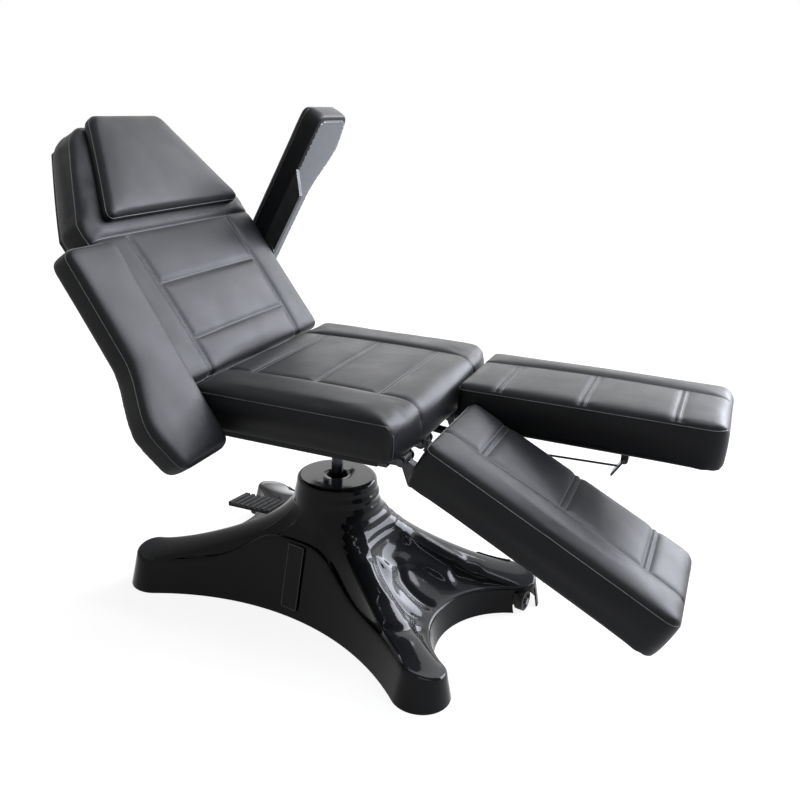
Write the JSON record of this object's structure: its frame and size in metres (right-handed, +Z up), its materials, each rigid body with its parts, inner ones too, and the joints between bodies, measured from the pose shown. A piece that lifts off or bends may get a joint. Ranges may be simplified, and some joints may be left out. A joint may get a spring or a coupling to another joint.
{
  "type": "pedicure chair",
  "caption": "Reclining pedicure chair with split leg rests, folding armrests and a head pillow on a swivelling hydraulic pump base with a foot pedal.",
  "frame": {"origin": "on the floor, on the axis of the lift column", "axes": "+X towards the foot end of the seat, +Y towards the sitter's left-hand arm rest, +Z up"},
  "size_m": [1.4931, 1.007, 1.146],
  "materials": {
    "vinyl": "smooth black artificial leather, satin",
    "gloss_black": "black moulded plastic, gloss",
    "black_steel": "black powder coat",
    "bright_steel": "ground and plated",
    "zinc_steel": "zinc plated",
    "rubber": "matt black",
    "plywood": "plain plywood"
  },
  "bodies": {
    "base": {"base_cover": "gloss_black", "column_cover": "gloss_black", "slot_strip": "gloss_black", "base_frame": "black_steel", "floor_pads": "rubber", "pump_cylinder": "zinc_steel", "pump_gland": "zinc_steel", "pump_bolts": "zinc_steel", "pedal_pin": "bright_steel", "roller_axles": "zinc_steel"},
    "pedal": {"pedal_lever": "black_steel", "pedal_pad": "rubber"},
    "plunger": {"pump_plunger": "bright_steel"},
    "roller_at_foot_end": {"foot_end_roller": "rubber"},
    "roller_at_head_end": {"head_end_roller": "rubber"},
    "ram": {"lift_ram": "bright_steel"},
    "seat": {"seat_plate": "black_steel", "plate_bolts": "zinc_steel", "seat_rails": "black_steel", "seat_cross_tubes": "black_steel", "seat_lugs": "black_steel", "seat_board": "plywood", "seat_cushion": "vinyl", "leg_pins": "bright_steel", "back_pins": "bright_steel"},
    "near_leg": {"near_leg_frame": "black_steel", "near_leg_board": "plywood", "near_leg_cushion": "vinyl"},
    "near_strut": {"near_strut_body": "gloss_black"},
    "near_strut_inner": {"near_strut_rod": "bright_steel"},
    "near_release": {"near_release_lever": "zinc_steel"},
    "near_pull": {"near_pull_rod": "black_steel"},
    "far_leg": {"far_leg_frame": "black_steel", "far_leg_board": "plywood", "far_leg_cushion": "vinyl"},
    "far_strut": {"far_strut_body": "gloss_black"},
    "far_strut_inner": {"far_strut_rod": "bright_steel"},
    "far_release": {"far_release_lever": "zinc_steel"},
    "far_pull": {"far_pull_rod": "black_steel"},
    "back": {"back_frame": "black_steel", "back_board": "plywood", "back_cushion": "vinyl", "arm_bolts": "bright_steel"},
    "pillow": {"head_pillow": "vinyl"},
    "back_strut": {"back_strut_body": "gloss_black"},
    "back_strut_inner": {"back_strut_rod": "bright_steel"},
    "recline_release": {"recline_lever": "gloss_black"},
    "near_arm": {"near_arm_cushion": "vinyl", "near_arm_board": "plywood", "near_arm_bracket": "black_steel"},
    "far_arm": {"far_arm_cushion": "vinyl", "far_arm_board": "plywood", "far_arm_bracket": "black_steel"}
  },
  "joints": [
    {"name": "lift", "type": "slide", "parent": "base", "child": "ram", "axis": [0, 0, 1], "range_m": [-0.05, 0.13]},
    {"name": "seat_swivel", "type": "hinge", "parent": "ram", "child": "seat", "pos_m": [0, 0, 0.45], "axis": [0, 0, 1], "continuous": true},
    {"name": "near_leg_hinge", "type": "hinge", "parent": "seat", "child": "near_leg", "pos_m": [0.247, -0.15, 0.488], "axis": [0, 1, 0], "range_deg": [-27, 28]},
    {"name": "near_strut_turn", "type": "hinge", "parent": "seat", "child": "near_strut", "pos_m": [0.14175, -0.095, 0.44969], "axis": [0, 1, 0], "range_deg": [-14.5, 14.5]},
    {"name": "near_strut_inner_turn", "type": "hinge", "parent": "near_leg", "child": "near_strut_inner", "pos_m": [0.30635, -0.095, 0.39302], "axis": [0, 1, 0], "range_deg": [-14.5, 14.5]},
    {"name": "near_release_lever_turn", "type": "hinge", "parent": "near_leg", "child": "near_release", "pos_m": [0.58155, -0.1225, 0.26815], "axis": [0, -1, 0], "range_deg": [0, 20.6]},
    {"name": "near_pull_rod_slide", "type": "slide", "parent": "near_leg", "child": "near_pull", "axis": [0.9059, 0, -0.4236], "range_m": [0, 0.0049], "stiffness_N_per_m": 1200, "springref_m": -0.004},
    {"name": "far_leg_hinge", "type": "hinge", "parent": "seat", "child": "far_leg", "pos_m": [0.247, 0.15, 0.488], "axis": [0, 1, 0], "range_deg": [0, 55]},
    {"name": "far_strut_turn", "type": "hinge", "parent": "seat", "child": "far_strut", "pos_m": [0.14175, 0.095, 0.44969], "axis": [0, 1, 0], "range_deg": [-28, 28]},
    {"name": "far_strut_inner_turn", "type": "hinge", "parent": "far_leg", "child": "far_strut_inner", "pos_m": [0.343, 0.095, 0.43032], "axis": [0, 1, 0], "range_deg": [-28, 28]},
    {"name": "far_release_lever_turn", "type": "hinge", "parent": "far_leg", "child": "far_release", "pos_m": [0.6449, 0.1225, 0.444], "axis": [0, -1, 0], "range_deg": [0, 20.6]},
    {"name": "far_pull_rod_slide", "type": "slide", "parent": "far_leg", "child": "far_pull", "axis": [0.9994, 0, 0.0338], "range_m": [0, 0.0049], "stiffness_N_per_m": 1200, "springref_m": -0.004},
    {"name": "back_hinge", "type": "hinge", "parent": "seat", "child": "back", "pos_m": [-0.258, 0, 0.517], "axis": [0, 1, 0], "range_deg": [-52.85, 12]},
    {"name": "back_strut_turn", "type": "hinge", "parent": "seat", "child": "back_strut", "pos_m": [-0.2309, 0, 0.40833], "axis": [0, 1, 0], "range_deg": [-27, 27]},
    {"name": "back_strut_inner_turn", "type": "hinge", "parent": "back", "child": "back_strut_inner", "pos_m": [-0.34762, 0, 0.58417], "axis": [0, 1, 0], "range_deg": [-27, 27]},
    {"name": "pillow_lift_off", "type": "slide", "parent": "back", "child": "pillow", "axis": [0.7971, 0, 0.6039], "range_m": [0, 0.08]},
    {"name": "recline_lever_turn", "type": "hinge", "parent": "seat", "child": "recline_release", "pos_m": [-0.15, 0.262, 0.465], "axis": [0, -1, 0], "range_deg": [0, 25], "stiffness_Nm_per_rad": 0.8, "springref_deg": -34.38},
    {"name": "near_arm_hinge", "type": "hinge", "parent": "back", "child": "near_arm", "pos_m": [-0.36964, -0.32, 0.77116], "axis": [0, -1, 0], "range_deg": [0, 122]},
    {"name": "far_arm_hinge", "type": "hinge", "parent": "back", "child": "far_arm", "pos_m": [-0.36964, 0.32, 0.77116], "axis": [0, -1, 0], "range_deg": [-118.5, 4]},
    {"name": "pedal_press", "type": "hinge", "parent": "base", "child": "pedal", "pos_m": [-0.06082, 0.00057, 0.152], "axis": [-0.1736, -0.9848, 0], "range_deg": [0, 11], "stiffness_Nm_per_rad": 10, "springref_deg": -20.05},
    {"name": "plunger_stroke", "type": "slide", "parent": "base", "child": "plunger", "axis": [0, 0, -1], "range_m": [0, 0.0058]},
    {"name": "foot_end_roller_spin", "type": "hinge", "parent": "base", "child": "roller_at_foot_end", "pos_m": [0.44933, 0.12386, 0.027], "axis": [0.9848, -0.1736, 0], "continuous": true},
    {"name": "head_end_roller_spin", "type": "hinge", "parent": "base", "child": "roller_at_head_end", "pos_m": [-0.37987, 0.27007, 0.027], "axis": [0.9848, -0.1736, 0], "continuous": true}
  ],
  "couplings": [
    {"joint": "near_strut_turn", "follows": "near_leg_hinge", "ratio": 0.5},
    {"joint": "near_strut_inner_turn", "follows": "near_leg_hinge", "ratio": -0.5},
    {"joint": "near_release_lever_turn", "follows": "near_pull_rod_slide", "rad_per_m": 71.43},
    {"joint": "far_strut_turn", "follows": "far_leg_hinge", "ratio": 0.5},
    {"joint": "far_strut_inner_turn", "follows": "far_leg_hinge", "ratio": -0.5},
    {"joint": "far_release_lever_turn", "follows": "far_pull_rod_slide", "rad_per_m": 71.43},
    {"joint": "back_strut_turn", "follows": "back_hinge", "ratio": 0.5},
    {"joint": "back_strut_inner_turn", "follows": "back_hinge", "ratio": -0.5},
    {"joint": "plunger_stroke", "follows": "pedal_press", "m_per_rad": 0.026}
  ]
}
